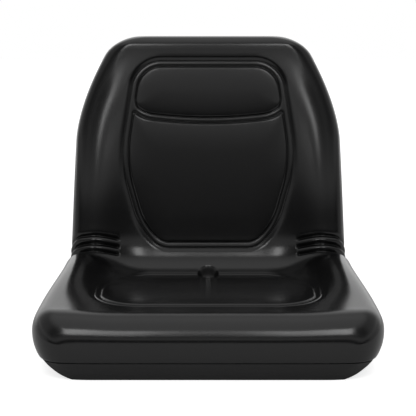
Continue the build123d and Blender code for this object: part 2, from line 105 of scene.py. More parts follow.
class SeatFormSettings(bpy.types.PropertyGroup):
    """Sizes of the moulded form."""

    seat_width: length("Seat width", "Across the base at its widest", 0.468)
    crease_width: length("Crease width", "Across the rear of the base", 0.448)
    back_width: length("Back width", "Across the backrest at the bend", 0.431)
    back_taper: length("Back taper", "How much narrower the backrest is towards the top", 0.026)
    nose_y: length("Nose", "Front-most point", -0.228)
    widest_y: length("Widest line", "Where the base is widest", -0.170)
    nose_corner_width: length("Nose corner width", "Rounded front corner, across", 0.042)
    nose_corner_length: length("Nose corner length", "Rounded front corner, along", 0.062)
    shoulder_drop: length("Shoulder drop", "Length of the rounded shoulders", 0.165)
    shoulder_in: length("Shoulder in", "How far each shoulder comes in", 0.0565)
    shoulder_power: factor("Shoulder power", "How soon the shoulders turn in; higher is later", 1.7)
    top_corner_width: length("Top corner width", "Rounded top corner, across", 0.040)
    top_corner_length: length("Top corner length", "Rounded top corner, along", 0.030)
    seat_front_height: length("Seat front height", "Top of the front roll", 0.086)
    seat_rear_height: length("Seat rear height", "Lowest line of the seat", 0.061)
    rim_front_height: length("Front rim height", "Side bolster beside the front roll", 0.089)
    rim_rear_height: length("Rear rim height", "Side bolster beside the crease", 0.100)
    rim_rise_power: factor("Rim rise power", "How soon the side bolster rises; lower is sooner", 0.6)
    girth_height: length("Girth height", "Height of the widest line of the base", 0.059)
    crease_y: length("Crease", "Axis of the bend between seat and back", 0.132)
    crease_radius: length("Crease radius", "Hollow of the bend on the centre line", 0.050)
    recline: angle("Recline", "Lean of the backrest", 9.0)
    back_length: length("Back length", "From the bend axis to the top", 0.332)
    back_thickness: length("Back thickness", "On the centre line", 0.050)
    back_bolster: length("Back bolster", "Rise of the side bolsters", 0.021)
    bolster_start: length("Bolster start", "Where the side bolsters begin below the top", 0.020)
    bolster_full: length("Bolster full", "Where they reach their full rise below the top", 0.280)
    nose_round_top: length("Nose round, top", "Upper radius of the front roll", 0.045)
    nose_girth: length("Nose girth", "Height of the front-most line", 0.051)
    nose_girth_reach: length("Nose girth reach", "From the nose to the full girth height", 0.080)
    nose_round_bottom: length("Nose round, bottom", "Lower radius of the front roll", 0.021)
    top_round_front: length("Top round, front", "Front radius of the top roll", 0.018)
    top_round_rear: length("Top round, rear", "Rear radius of the top roll", 0.030)
    side_round_top: length("Side round, top", "Outermost line in to the bolster crest", 0.027)
    side_fullness: factor("Side fullness", "Handle length of that rounding; higher is squarer", 0.58)
    side_round_bottom: length("Side round, bottom", "Outermost line in to the underside", 0.068)
    bolster_slope: length("Bolster slope", "Bolster crest in to the flat centre", 0.086)
    slope_fullness: factor("Slope fullness", "Handle length of that slope; higher is steeper", 0.38)
    soft_step: length("Soft step", "Reach of the softening of the form", 0.018)
    flat_allowance: length("Flat allowance", "Trimmed to make the underside and rear flat", 0.005)
    corner_sharpness: factor("Corner sharpness", "Of the rear lower corner", 10.0)
    tip_angle: angle("Tip angle", "Where each end roll is closed", 1.0)
    rim_height: length("Rim height", "Top edge of the base pan", 0.0245)
    rim_tuck: length("Rim tuck", "How far the skin turns in behind the pan", 0.0043)
    rim_roll: length("Rim roll", "Radius of the skin's turned edge", 0.0030)
    floor_height: length("Floor height", "Underside of the cushion, on the pan's floor", 0.0021)
    tab_half_width: length("Tab half width", "Raised rear tab of the base pan", 0.150)
    tab_top: length("Tab top", "Along the backrest from the bend axis", -0.020)


class SeatReliefSettings(bpy.types.PropertyGroup):
    """Sizes of what is sunk into or raised from the form."""

    channel_width: length("Channel width", "Across each sunk channel", 0.0105)
    channel_depth: length("Channel depth", "Floor of each channel under the skin", 0.0018)
    crack_width: length("Crack width", "Narrow crack along each edge of a channel", 0.0011)
    crack_depth: length("Crack depth", "Of the crack, below the channel's floor", 0.0012)
    channel_bead: length("Channel bead", "Rise of the channel's floor between the cracks", 0.0006)
    seat_channel_share: factor("Seat channel share", "Depth of the seat channel beside the back's", 0.6)
    outer_lip: length("Outer lip", "Rounding where the skin turns down into a channel", 0.0070)
    pad_lip: length("Pad lip", "Rounding of the edge of each pad", 0.0020)
    loop_top: length("Loop top", "Top of the back loop, from the bend axis", 0.291)
    loop_upper: length("Loop upper corner", "Height up the back", 0.160)
    loop_lower: length("Loop lower corner", "Height up the back", 0.115)
    loop_hip: length("Loop hip", "Height up the back", 0.028)
    loop_bottom: length("Loop bottom", "Bottom of the back loop", -0.004)
    loop_top_half: length("Loop top half width", "From the centre line", 0.115)
    loop_upper_half: length("Loop upper half width", "From the centre line", 0.1335)
    loop_lower_half: length("Loop lower half width", "From the centre line", 0.134)
    loop_hip_half: length("Loop hip half width", "From the centre line", 0.110)
    loop_bottom_half: length("Loop bottom half width", "From the centre line", 0.076)
    pad_break: length("Pad break", "Lowest point of the upper pad", 0.202)
    upper_break_radius: length("Upper break radius", "Bow of the upper pad's lower edge", 0.700)
    break_corner: length("Break corner", "Bow of the break towards its ends", 0.045)
    break_flare: length("Break flare", "How far the break's bow runs out past the pads", 0.016)
    upper_pad_corner: length("Upper pad corner", "Rounding of its lower corners", 0.006)
    lower_pad_corner: length("Lower pad corner", "Rounding of its upper corners", 0.004)
    seat_pad_front: length("Seat pad front", "Front edge of the seat pad", -0.142)
    seat_pad_wide: length("Seat pad widest", "Where the seat pad is widest", -0.030)
    seat_pad_rear: length("Seat pad rear", "Rear edge of the seat pad", 0.134)
    seat_pad_front_half: length("Seat pad front half width", "At the front", 0.146)
    seat_pad_half: length("Seat pad half width", "At its widest", 0.150)
    seat_pad_rear_half: length("Seat pad rear half width", "At the rear", 0.114)
    pad_crown: length("Pad crown", "Swell of each pad's middle", 0.0012)
    pad_crown_reach: length("Pad crown reach", "From a pad's edge to its full swell", 0.045)
    pleat_count: IntProperty(name="Pleats", description="On each side", default=3, min=1)
    pleat_first: length("First pleat", "Lowest pleat, from the bend axis", 0.010)
    pleat_pitch: length("Pleat pitch", "From one pleat to the next", 0.011)
    pleat_width: length("Pleat width", "Across each fold", 0.0024)
    pleat_depth: length("Pleat depth", "Of each fold", 0.0050)
    pleat_swell: length("Pleat swell", "Of the rolls between the folds", 0.0012)
    pleat_inner: length("Pleat inner end", "From the centre line", 0.138)
    pleat_reach: length("Pleat reach", "Down the side from the bend axis", 0.062)
    pleat_angle: angle("Pleat angle", "Of the folds, from the floor", 45.0)
    drain_y: length("Drain", "Place of the drain in the crease", 0.146)
    drain_scoop: length("Drain scoop", "Diameter of the hollow round the drain", 0.030)
    drain_floor: length("Drain floor", "Height of the hollow's floor", 0.056)
    drain_flange: length("Drain flange", "Diameter of the tube's flange", 0.020)
    drain_bore: length("Drain bore", "Inside the tube", 0.009)


class SeatFittingSettings(bpy.types.PropertyGroup):
    """Sizes of the pans' edges, the edge trim, the weld nuts and the drain tube."""

    base_ease: length("Base pan ease", "Rounding of the base pan's edges", 0.0004)
    back_ease: length("Back pan ease", "Rounding of the back pan's edges", 0.0012)
    back_pan_high: length("Back pan top", "Height up the back, from the bend axis", 0.292)
    back_pan_knee: length("Back pan knee", "Height where the back pan starts to narrow", 0.150)
    back_pan_low: length("Back pan bottom", "Height up the back, from the bend axis", -0.062)
    back_pan_half: length("Back pan half width", "From the centre line", 0.160)
    back_pan_top_half: length("Back pan top half width", "From the centre line", 0.112)
    pan_thickness: length("Pan thickness", "Steel of the back pan", 0.002)
    trim_outside: length("Trim outside", "Edge trim beyond the back pan", 0.005)
    trim_inside: length("Trim inside", "Edge trim lapped over the back pan", 0.008)
    trim_cover: length("Trim cover", "Thickness of the trim over the pan", 0.0025)
    trim_bulge: length("Trim bulge", "Radius of the trim's outer corner", 0.0022)
    trim_gap: length("Trim gap", "Between the trim and the pan's edge", 0.0002)
    trim_step: length("Trim step", "Between the points that the trim is swept along", 0.004)
    nut_across: length("Nut size", "Across the flats", 0.014)
    nut_corner: factor("Nut corner", "Reach of the corners beside the flats", 1.12)
    nut_chamfer: length("Nut chamfer", "On the upper corners", 0.0009)
    nut_bore: length("Nut bore", "Inside the thread", 0.0082)
    thread_depth: length("Thread depth", "Of the thread in the bore", 0.0003)
    thread_pitch: length("Thread pitch", "From one turn to the next", 0.00125)
    tube_wall: length("Tube wall", "Of the drain tube", 0.0015)
    flange_thickness: length("Flange thickness", "Of the drain tube", 0.002)


class SeatFinishSettings(bpy.types.PropertyGroup):
    """Colours of the finishes."""

    vinyl: colour("Vinyl", "Skin of the cushion", (0.0036, 0.0036, 0.0038))
    paint: colour("Pan paint", "Powder coat of the pans", (0.0045, 0.0045, 0.0047))
    rubber: colour("Rubber", "Edge trim", (0.0120, 0.0120, 0.0122))
    zinc: colour("Zinc", "Weld nuts", (0.62, 0.62, 0.60))
    nylon: colour("Nylon", "Drain tube", (0.0140, 0.0140, 0.0145))


class SeatStageSettings(bpy.types.PropertyGroup):
    """The camera, the lamps and the floor."""

    camera_distance: length("Camera distance", "From the aim point", 2.0)
    camera_elevation: angle("Camera elevation", "Above level", 9.0)
    aim_height: length("Aim height", "Of the aim point over the floor", 0.205)
    focal_pixels: factor("Focal length", "In pixels of the square image", 1396.0)
    centre_x: factor("Image centre X", "Where the aim point falls, in pixels", 208.1)
    centre_y: factor("Image centre Y", "Where the aim point falls, in pixels", 199.6)
    floor_size: length("Floor size", "Across, and back from the seat", 14.0)
    floor_front: length("Floor front", "How far the floor reaches before the seat", 1.6)
    floor_white: colour("Floor", "Pale floor", (0.80, 0.80, 0.80))
    lamp_side: length("Lamp side", "Distance of each soft lamp from the middle", 0.450)
    lamp_front: length("Lamp front", "Distance of each soft lamp before the seat", 1.95)
    lamp_height: length("Lamp height", "Middle of each soft lamp", 1.80)
    lamp_width: length("Lamp width", "Across each soft lamp", 0.437)
    lamp_length: length("Lamp length", "Along each soft lamp", 1.017)
    lamp_aim: length("Lamp aim", "Height that each soft lamp points at", 0.25)
    floor_drop: length("Floor drop", "Gap under the seat, so that no faces coincide", 0.0002)
    floor_roughness: factor("Floor roughness", "Of the pale floor", 0.9)
    floor_glow: factor("Floor glow", "Added for the camera, so that the lit floor is white", 0.75)
    mirror_start: length("Mirrored floor start", "How far behind the seat glossy rays see the glow", 2.0)
    mirror_full: length("Mirrored floor full", "Where they see all of it", 4.0)
    lamp_power: FloatProperty(name="Lamp power", description="Each", default=8.6, unit="POWER")


# Form of the seat

def rounding(distance, reach):
    """Share of its full height that a rounded edge has gained this far in from its tip."""
    return np.sqrt(1 - np.clip(1 - distance / reach, 0, 1) ** 2)


def eased(share):
    """A share that starts and ends level."""
    return (1 - np.cos(pi * np.clip(share, 0, 1))) / 2


def smooth(low, high, value):
    """0 below low, 1 above high, and an even curve between them."""
    share = np.clip((value - low) / (high - low), 0, 1)
    return share * share * (3 - 2 * share)


def axis_point(form):
    """Y and Z of the axis that the seat bends round."""
    return np.array([form.crease_y, form.seat_rear_height + form.crease_radius])


def back_directions(form):
    """Up the backrest, and out of its rear, as Y and Z."""
    up = np.array([sin(form.recline), cos(form.recline)])
    out = np.array([cos(form.recline), -sin(form.recline)])
    return up, out


def base_stations(form, y):
    """Upright sections across the base: origin, inward direction and heights of each."""
    tip = y - form.nose_y
    roll_y = form.nose_y + form.nose_round_top
    narrowing = eased((y - form.widest_y) / (form.crease_y - form.widest_y))
    behind_roll = np.clip((y - roll_y) / (form.crease_y - roll_y), 0, 1)
    rise = eased(behind_roll**form.rim_rise_power)
    fall = eased(behind_roll)
    half = (form.seat_width - (form.seat_width - form.crease_width) * narrowing) / 2
    crest = form.rim_front_height + (form.rim_rear_height - form.rim_front_height) * rise
    centre = form.seat_front_height + (form.seat_rear_height - form.seat_front_height) * fall
    top = rounding(tip, form.nose_round_top)
    bottom = rounding(tip, form.nose_round_bottom)
    corner = form.nose_corner_width * (1 - rounding(tip, form.nose_corner_length))
    girth = form.nose_girth + (form.girth_height - form.nose_girth) * eased(tip / form.nose_girth_reach)
    return {
        "origin": np.stack([y, np.zeros_like(y)], axis=1),
        "inward": np.stack([np.zeros_like(y), np.ones_like(y)], axis=1),
        "half": half - corner,
        "low": girth - (girth + form.flat_allowance) * bottom,
        "girth": girth,
        "crest": girth + (crest - girth) * top,
        "centre": girth + (centre - girth) * top,
    }


def bend_stations(form, share):
    """Sections through the bend axis, with the corner of the underside rounded off."""
    bend = pi / 2 - form.recline
    turn = bend * share
    axis = axis_point(form)
    depth = form.crease_radius + form.back_thickness
    to_floor = axis[1] / np.cos(turn)
    to_rear = depth / np.cos(bend - turn)
    power = form.corner_sharpness
    outward = (to_floor**-power + to_rear**-power) ** (-1 / power)
    ease = eased(share)
    rear_crest = axis[1] - form.rim_rear_height
    back_crest = form.crease_radius - form.back_bolster
    back_girth = (form.back_thickness + form.back_bolster) / 2
    inward = np.stack([-np.sin(turn), np.cos(turn)], axis=1)
    return {
        "origin": axis - inward * outward[:, None],
        "inward": inward,
        "half": (form.crease_width * (1 - ease) + form.back_width * ease) / 2,
        "low": np.full_like(share, -form.flat_allowance),
        "girth": form.girth_height * (1 - ease) + back_girth * ease,
        "crest": outward - (rear_crest * (1 - ease) + back_crest * ease),
        "centre": outward - form.crease_radius,
    }


def back_stations(form, along):
    """Sections across the backrest, this far up from the bend axis."""
    up, out = back_directions(form)
    tip = form.back_length - along
    fade = eased((tip - form.bolster_start) / (form.bolster_full - form.bolster_start))
    crest = form.back_thickness + form.back_bolster * fade
    girth = crest / 2
    front = rounding(tip, form.top_round_front)
    rear = rounding(tip, form.top_round_rear)
    taper = form.back_taper / 2 * along / form.back_length
    shoulder = form.shoulder_in * np.clip(1 - tip / form.shoulder_drop, 0, 1) ** form.shoulder_power
    corner = form.top_corner_width * (1 - rounding(tip, form.top_corner_length))
    depth = form.crease_radius + form.back_thickness
    return {
        "origin": axis_point(form) + out * depth + up * along[:, None],
        "inward": np.tile(-out, (len(along), 1)),
        "half": form.back_width / 2 - taper - shoulder - corner,
        "low": girth - (girth + form.flat_allowance) * rear,
        "girth": girth,
        "crest": girth + (crest - girth) * front,
        "centre": girth + (form.back_thickness - girth) * front,
    }


def nose_stations(form, share):
    """Sections through the front roll, from its tip to its top."""
    turn = form.tip_angle + (pi / 2 - form.tip_angle) * share
    return base_stations(form, form.nose_y + form.nose_round_top * (1 - np.cos(turn)))


def seat_stations(form, share):
    """Sections of the base between the front roll and the bend."""
    roll_y = form.nose_y + form.nose_round_top
    return base_stations(form, roll_y + (form.crease_y - roll_y) * share)


def rest_stations(form, share):
    """Sections of the backrest between the bend and the top roll."""
    return back_stations(form, (form.back_length - form.top_round_front) * share)


def top_stations(form, share):
    """Sections through the roll at the top of the back, ending at its tip."""
    turn = pi / 2 - (pi / 2 - form.tip_angle) * share
    return back_stations(form, form.back_length - form.top_round_front * (1 - np.cos(turn)))


# Stretches from nose to top with their number of rows, and curves round a section with their columns
STRETCHES = (
    (nose_stations, 18),
    (seat_stations, 66),
    (bend_stations, 24),
    (rest_stations, 62),
    (top_stations, 16),
)
COLUMNS = (14, 14, 17, 58, 17, 14, 14, 14)

# Corner radii of the back loop, the seat pad and the back pan, in the order of their corners
LOOP_RADII = (0.048, 0.260, 0.190, 0.110, 0.038)
SEAT_PAD_RADII = (0.036, 0.120, 0.060)
BACK_PAN_RADII = (0.045, 0.120, 0.025)
OUTLINE_STEP = 0.0015
LEAST_CENTRE_SHARE = 0.25  # of the crest's distance, that the flat centre keeps in narrow sections


def section_controls(form, station):
    """Control points of the closed sections, as X across and height above each origin."""
    half, low, girth = station["half"], station["low"], station["girth"]
    crest, centre = station["crest"], station["centre"]
    flat = half - form.side_round_bottom
    crest_x = half - form.side_round_top
    centre_x = np.maximum(crest_x - form.bolster_slope, crest_x * LEAST_CENTRE_SHARE)
    handle = (crest_x - centre_x) * form.slope_fullness
    right = [
        (flat / 3, low),
        (flat, low),
        (flat + (half - flat) * BEZIER_ARC, low),
        (half, girth - (girth - low) * BEZIER_ARC),
        (half, girth),
        (half, girth + (crest - girth) * form.side_fullness),
        (crest_x + (half - crest_x) * form.side_fullness, crest),
        (crest_x, crest),
        (crest_x - handle, crest),
        (centre_x + handle, centre),
        (centre_x, centre),
        (centre_x / 3, centre),
    ]
    left = [(-x, height) for x, height in reversed(right)]
    return np.array(right + left)


def form_points(form, u, v):
    """Points of the form: u counts curves round the section, v counts stretches from nose to top."""
    points = np.zeros((len(u), 3))
    stretch_of = np.clip(v.astype(int), 0, len(STRETCHES) - 1)
    for k, (stations, _) in enumerate(STRETCHES):
        chosen = np.flatnonzero(stretch_of == k)
        if not len(chosen):
            continue
        station = stations(form, v[chosen] - k)
        controls = section_controls(form, station)
        curve = np.clip(u[chosen].astype(int), 0, SECTION_CURVES - 1)
        t = u[chosen] - curve
        weights = [(1 - t) ** 3, 3 * t * (1 - t) ** 2, 3 * t * t * (1 - t), t**3]
        across = np.zeros(len(chosen))
        height = np.zeros(len(chosen))
        for corner, weight in enumerate(weights):
            index = (1 + 3 * curve + corner) % len(controls)
            picked = controls[index, :, np.arange(len(chosen))]
            across += weight * picked[:, 0]
            height += weight * picked[:, 1]
        place = station["origin"] + station["inward"] * height[:, None]
        points[chosen, 0] = across
        points[chosen, 1:] = place
    return points


# Length of each stretch on the centre line and width of each curve, for even steps over the form
STRETCH_LENGTHS = np.array([0.060, 0.315, 0.071, 0.296, 0.050])
CURVE_WIDTHS = np.array([0.090, 0.045, 0.088, 0.190, 0.088, 0.045, 0.090, 0.290])
SOFT_STEPS = ((-2, 1 / 16), (-1, 4 / 16), (0, 6 / 16), (1, 4 / 16), (2, 1 / 16))

# Where the softening starts and is full: curves in from the side on the seat and on the back,
# and stretches from the nose
SOFT_EDGE_SEAT = 2.1
SOFT_EDGE_BACK = 1.5
SOFT_BEFORE_EDGE = 0.1
SOFT_PAST_EDGE = 0.5
SOFT_FIRST = (1.0, 1.25)
SOFT_LAST = (3.75, 4.0)
BEND_SPAN = (2.0, 3.0)  # the stretch that is the bend


def stepped(value, spans, step):
    """A count of spans moved on by a length, with each span's own length."""
    edges = np.concatenate([[0.0], np.cumsum(spans)])
    place = np.interp(value, np.arange(len(edges)), edges) + step
    return np.interp(place, edges, np.arange(len(edges)))


def soft_points(form, u, v):
    """Points of the form with the joints between its curves and stretches softened on the sitter's side."""
    points = form_points(form, u, v)
    edge = SOFT_EDGE_SEAT + (SOFT_EDGE_BACK - SOFT_EDGE_SEAT) * smooth(*BEND_SPAN, v)
    from_side = np.minimum(u, MIRROR_SUM - u)
    share = smooth(edge - SOFT_BEFORE_EDGE, edge + SOFT_PAST_EDGE, from_side)
    share *= smooth(*SOFT_FIRST, v) * (1 - smooth(*SOFT_LAST, v))
    chosen = np.flatnonzero(share > 0)
    mean = np.zeros((len(chosen), 3))
    for along, weight_v in SOFT_STEPS:
        near_v = stepped(v[chosen], STRETCH_LENGTHS, along * form.soft_step)
        for across, weight_u in SOFT_STEPS:
            near_u = stepped(u[chosen], CURVE_WIDTHS, across * form.soft_step)
            mean += weight_u * weight_v * form_points(form, near_u, near_v)
    points[chosen] += share[chosen, None] * (mean - points[chosen])
    return points


def back_coordinates(form, points):
    """Height up the backrest from the bend axis, and distance out from the axis."""
    up, out = back_directions(form)
    from_axis = points[:, 1:] - axis_point(form)
    return from_axis @ up, from_axis @ out


# Relief of the cushion

def rounded_outline(right_corners, radii, step=OUTLINE_STEP):
    """Closed outline with rounded corners, from the corners of its right half, as close points."""
    corners = [np.array(c) for c in right_corners]
    corners += [np.array((-c[0], c[1])) for c in reversed(right_corners)]
    radii = [*radii, *reversed(radii)]
    points = []
    for k, (corner, radius) in enumerate(zip(corners, radii)):
        back = corners[k - 1] - corner
        on = corners[(k + 1) % len(corners)] - corner
        back /= np.linalg.norm(back)
        on /= np.linalg.norm(on)
        opening = np.arccos(np.clip(back @ on, -1, 1))
        middle = back + on
        centre = corner + middle / np.linalg.norm(middle) * radius / np.sin(opening / 2)
        first = corner + back * radius / np.tan(opening / 2) - centre
        turn = pi - opening
        sense = np.sign(first[0] * on[1] - first[1] * on[0])
        count = max(3, int(radius * turn / step))
        for a in np.linspace(0, turn, count) * sense:
            turned = (first[0] * cos(a) - first[1] * sin(a), first[0] * sin(a) + first[1] * cos(a))
            points.append(centre + turned)
    closed = np.array(points + points[:1])
    spans = np.linalg.norm(np.diff(closed, axis=0), axis=1)
    length_at = np.concatenate([[0], np.cumsum(spans)])
    even = np.arange(0, length_at[-1], step)
    return np.stack([np.interp(even, length_at, closed[:, k]) for k in (0, 1)], axis=1)


def signed_distance(points, outline):
    """Distance of each point from a closed outline, negative inside it."""
    distance = np.full(len(points), np.inf)
    inside = np.zeros(len(points), bool)
    following = np.roll(outline, -1, axis=0)
    for start, end in zip(outline, following):
        distance = np.minimum(distance, (points[:, 0] - start[0]) ** 2 + (points[:, 1] - start[1]) ** 2)
        if start[1] != end[1]:
            spans = (start[1] > points[:, 1]) != (end[1] > points[:, 1])
            slope = (end[0] - start[0]) / (end[1] - start[1])
            inside ^= spans & (points[:, 0] < start[0] + slope * (points[:, 1] - start[1]))
    distance = np.sqrt(distance)
    return np.where(inside, -distance, distance)


def rounded_meet(first, second, radius):
    """Signed distance from the overlap of two areas, with its corner rounded."""
    outer = np.hypot(np.maximum(first + radius, 0), np.maximum(second + radius, 0))
    return np.minimum(np.maximum(first, second), -radius) + outer


# Bounds that keep each relief on its own stretch of the form
LOOP_LEAST_ALONG = -0.030
LOOP_MOST_BEFORE = 0.045
LOOP_LEAST_HEIGHT = 0.070
SEAT_MOST_HEIGHT = 0.105
SEAT_MOST_BACK = 0.165
PLEAT_MOST_UP = 0.030
PLEAT_MOST_HEIGHT = 0.250
DRAIN_MOST_HEIGHT = 0.085

# Slopes of the relief, as distances from the edges that they belong to
PLEAT_END = (-0.001, 0.004)
PLEAT_FADE = 0.014
CHANNEL_END = (-0.002, 0.003)  # channels and crowns fade out at the drain hollow's edge
SCOOP_SIDE = (-0.003, 0.002)
FLANGE_SEAT_DEPTH = 0.002
FLANGE_SEAT_SLOPE = 0.0015
BORE_DEPTH = 0.030
BORE_SIDE = (0.0005, 0.002)
TAB_DEPTH = 0.020
TAB_MARGIN = 0.002
FOLD_POWER = 1.5  # higher is a flatter floor in each fold
CRACK_SPREAD = 0.62  # width of a crack's curve beside the crack's own width


def beside(edge, slope, distance):
    """0 before a slope at an edge, and 1 past it."""
    return smooth(edge + slope[0], edge + slope[1], distance)


class Relief:
    """How far each point of the form is from the channels, pleats and drain."""

    def __init__(self, form, relief, points, u):
        self.form = form
        self.relief = relief
        self.points = points
        self.along, self.out = back_coordinates(form, points)
        self.front = (u > FRONT_CURVES[0]) & (u < FRONT_CURVES[1])

    def outline_distance(self, where, second, corners, radii):
        """Signed distance from a rounded outline where it lies, and far outside it elsewhere."""
        chosen = np.flatnonzero(where & self.front)
        distance = np.full(len(self.points), ELSEWHERE)
        flat = np.stack([self.points[chosen, 0], second[chosen]], axis=1)
        distance[chosen] = signed_distance(flat, rounded_outline(corners, radii))
        return distance

    def back_channel(self):
        """Distances into the back channels from their outer edge and from the pads."""
        r = self.relief
        corners = [
            (r.loop_top_half, r.loop_top),
            (r.loop_upper_half, r.loop_upper),
            (r.loop_lower_half, r.loop_lower),
            (r.loop_hip_half, r.loop_hip),
            (r.loop_bottom_half, r.loop_bottom),
        ]
        where = (self.along > LOOP_LEAST_ALONG) & (self.points[:, 2] > LOOP_LEAST_HEIGHT)
        where &= self.out > self.form.crease_radius - LOOP_MOST_BEFORE
        loop = self.outline_distance(where, self.along, corners, LOOP_RADII)
        inner = loop + r.channel_width
        x = self.points[:, 0]
        upper_middle = r.pad_break + r.upper_break_radius
        above = np.hypot(x, self.along - upper_middle) - r.upper_break_radius
        bow = rounded_meet(inner - r.break_flare, above, r.break_corner)
        upper = rounded_meet(inner, bow, r.upper_pad_corner)
        lower = rounded_meet(inner, r.channel_width - bow, r.lower_pad_corner)
        return -loop, np.minimum(upper, lower)

    def seat_channel(self):
        """Distances into the seat channel from its outer edge and from the pad."""
        r = self.relief
        corners = [
            (r.seat_pad_rear_half, r.seat_pad_rear),
            (r.seat_pad_half, r.seat_pad_wide),
            (r.seat_pad_front_half, r.seat_pad_front),
        ]
        where = (self.points[:, 2] < SEAT_MOST_HEIGHT) & (self.points[:, 1] < SEAT_MOST_BACK)
        pad = self.outline_distance(where, self.points[:, 1], corners, SEAT_PAD_RADII)
        return r.channel_width - pad, pad

    def pleats(self):
        """Distance from the nearest fold, distance outside the folds, and share of a full fold."""
        r = self.relief
        from_axis = self.points[:, 1:] - axis_point(self.form)
        across = from_axis @ np.array([cos(r.pleat_angle), sin(r.pleat_angle)])
        down = from_axis @ np.array([sin(r.pleat_angle), -cos(r.pleat_angle)])
        folds = r.pleat_first + r.pleat_pitch * np.arange(r.pleat_count)
        nearest = np.abs(across[:, None] - folds).min(axis=1)
        outside = np.maximum(folds[0] - across, across - folds[-1])
        share = beside(r.pleat_inner, PLEAT_END, np.abs(self.points[:, 0]))
        share *= 1 - smooth(r.pleat_reach - PLEAT_FADE, r.pleat_reach, down)
        share[(down < -PLEAT_MOST_UP) | (self.points[:, 2] > PLEAT_MOST_HEIGHT)] = 0
        return nearest, outside, share

    def drain(self):
        """Distance from the drain's axis, on the sitter's side."""
        distance = np.hypot(self.points[:, 0], self.points[:, 1] - self.relief.drain_y)
        distance[(self.points[:, 2] > DRAIN_MOST_HEIGHT) | ~self.front] = ELSEWHERE
        return distance

    def above_rim(self):
        """Height over the base pan's rim, for the points that the rim runs by."""
        height = self.points[:, 2] - self.form.rim_height
        return np.where(self.along < self.form.tab_top, height, ELSEWHERE)

    def on_tab(self):
        """The points that lie against the base pan's rear tab."""
        form = self.form
        low = self.along < form.tab_top + TAB_MARGIN
        rear = self.out > form.crease_radius + form.back_thickness - TAB_DEPTH
        return low & rear & (np.abs(self.points[:, 0]) < form.tab_half_width + TAB_MARGIN)


def channel_profile(relief, outer, inner):
    """Depth below the skin: a slightly raised floor between two cracks, and rounded lips."""
    crack = relief.crack_width
    floor = smooth(-relief.outer_lip, crack, outer) * smooth(-relief.pad_lip, crack, inner)
    cracks = sum(np.exp(-(((edge - crack) / (crack * CRACK_SPREAD)) ** 2)) for edge in (outer, inner))
    middle = np.clip((np.minimum(outer, inner) - crack) / (relief.channel_width / 2 - crack), 0, 1)
    bead = relief.channel_bead * (1 - (1 - middle) ** 2)
    return relief.channel_depth * floor + relief.crack_depth * cracks * floor - bead


def relief_moves(form, relief, points, u):
    """Movement of each point along its normal, and downwards at the drain."""
    shape = Relief(form, relief, points, u)
    drain = shape.drain()
    scoop = relief.drain_scoop / 2
    outside_scoop = beside(scoop, CHANNEL_END, drain)
    moves = np.zeros(len(points))
    channels = ((shape.back_channel(), 1.0), (shape.seat_channel(), relief.seat_channel_share))
    for (outer, inner), depth_share in channels:
        moves -= depth_share * channel_profile(relief, outer, inner) * outside_scoop
        share = np.clip(-inner / relief.pad_crown_reach, 0, 1)
        moves += relief.pad_crown * np.sqrt(1 - (1 - share) ** 2) * outside_scoop
    nearest, outside, full = shape.pleats()
    fold = relief.pleat_depth * np.exp(-((nearest / relief.pleat_width) ** FOLD_POWER))
    roll = relief.pleat_swell * (1 - smooth(0.0, relief.pleat_pitch / 2, outside))
    moves += (roll - fold) * full
    over_rim = np.clip(shape.above_rim() / form.rim_roll, 0, 1)
    moves -= form.rim_tuck * (1 - np.sqrt(1 - (1 - over_rim) ** 2))
    moves[shape.on_tab()] = -form.rim_tuck
    flange = relief.drain_flange / 2
    drop = (points[:, 2] - relief.drain_floor) * (1 - beside(scoop, SCOOP_SIDE, drain))
    drop += FLANGE_SEAT_DEPTH * (1 - smooth(flange, flange + FLANGE_SEAT_SLOPE, drain))
    drop += BORE_DEPTH * (1 - beside(relief.drain_bore / 2, BORE_SIDE, drain))
    return moves, drop


def detail_distances(form, relief, points, u):
    """Distances from the channels, their edges, the pleats, the folds, the drain's rim and the pan's rim."""
    shape = Relief(form, relief, points, u)
    into = np.maximum(np.minimum(*shape.back_channel()), np.minimum(*shape.seat_channel()))
    nearest, outside, full = shape.pleats()
    pleated = full > 0
    drain = np.abs(shape.drain() - relief.drain_scoop / 2)
    rim = np.abs(shape.above_rim() - form.rim_roll / 2)
    return (
        -into,
        np.abs(into - relief.crack_width / 2),
        np.where(pleated, np.maximum(outside, 0), ELSEWHERE),
        np.where(pleated, nearest, ELSEWHERE),
        drain,
        rim,
    )


# Mesh tools

def new_object(name, mesh):
    """An object that holds a mesh, in the scene, at the origin."""
    piece = bpy.data.objects.new(name, mesh)
    bpy.context.scene.collection.objects.link(piece)
    return piece


def shade_smooth(mesh):
    """Smooth shading on every face."""
    mesh.polygons.foreach_set("use_smooth", np.ones(len(mesh.polygons), bool))
    mesh.update()


def finish_piece(piece, node):
    """The piece stands for a CAD node and rides on the seat."""
    if not piece.data.polygons:
        raise RuntimeError(f"{piece.name} has no faces")
    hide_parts(node)
    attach(piece, BODY)


LAST_ROW = len(STRETCHES) - 1e-6  # just short of the end, so that it belongs to the last stretch
MOST_CORNERS = 8  # a face with more is an end of the form, and isn't halved


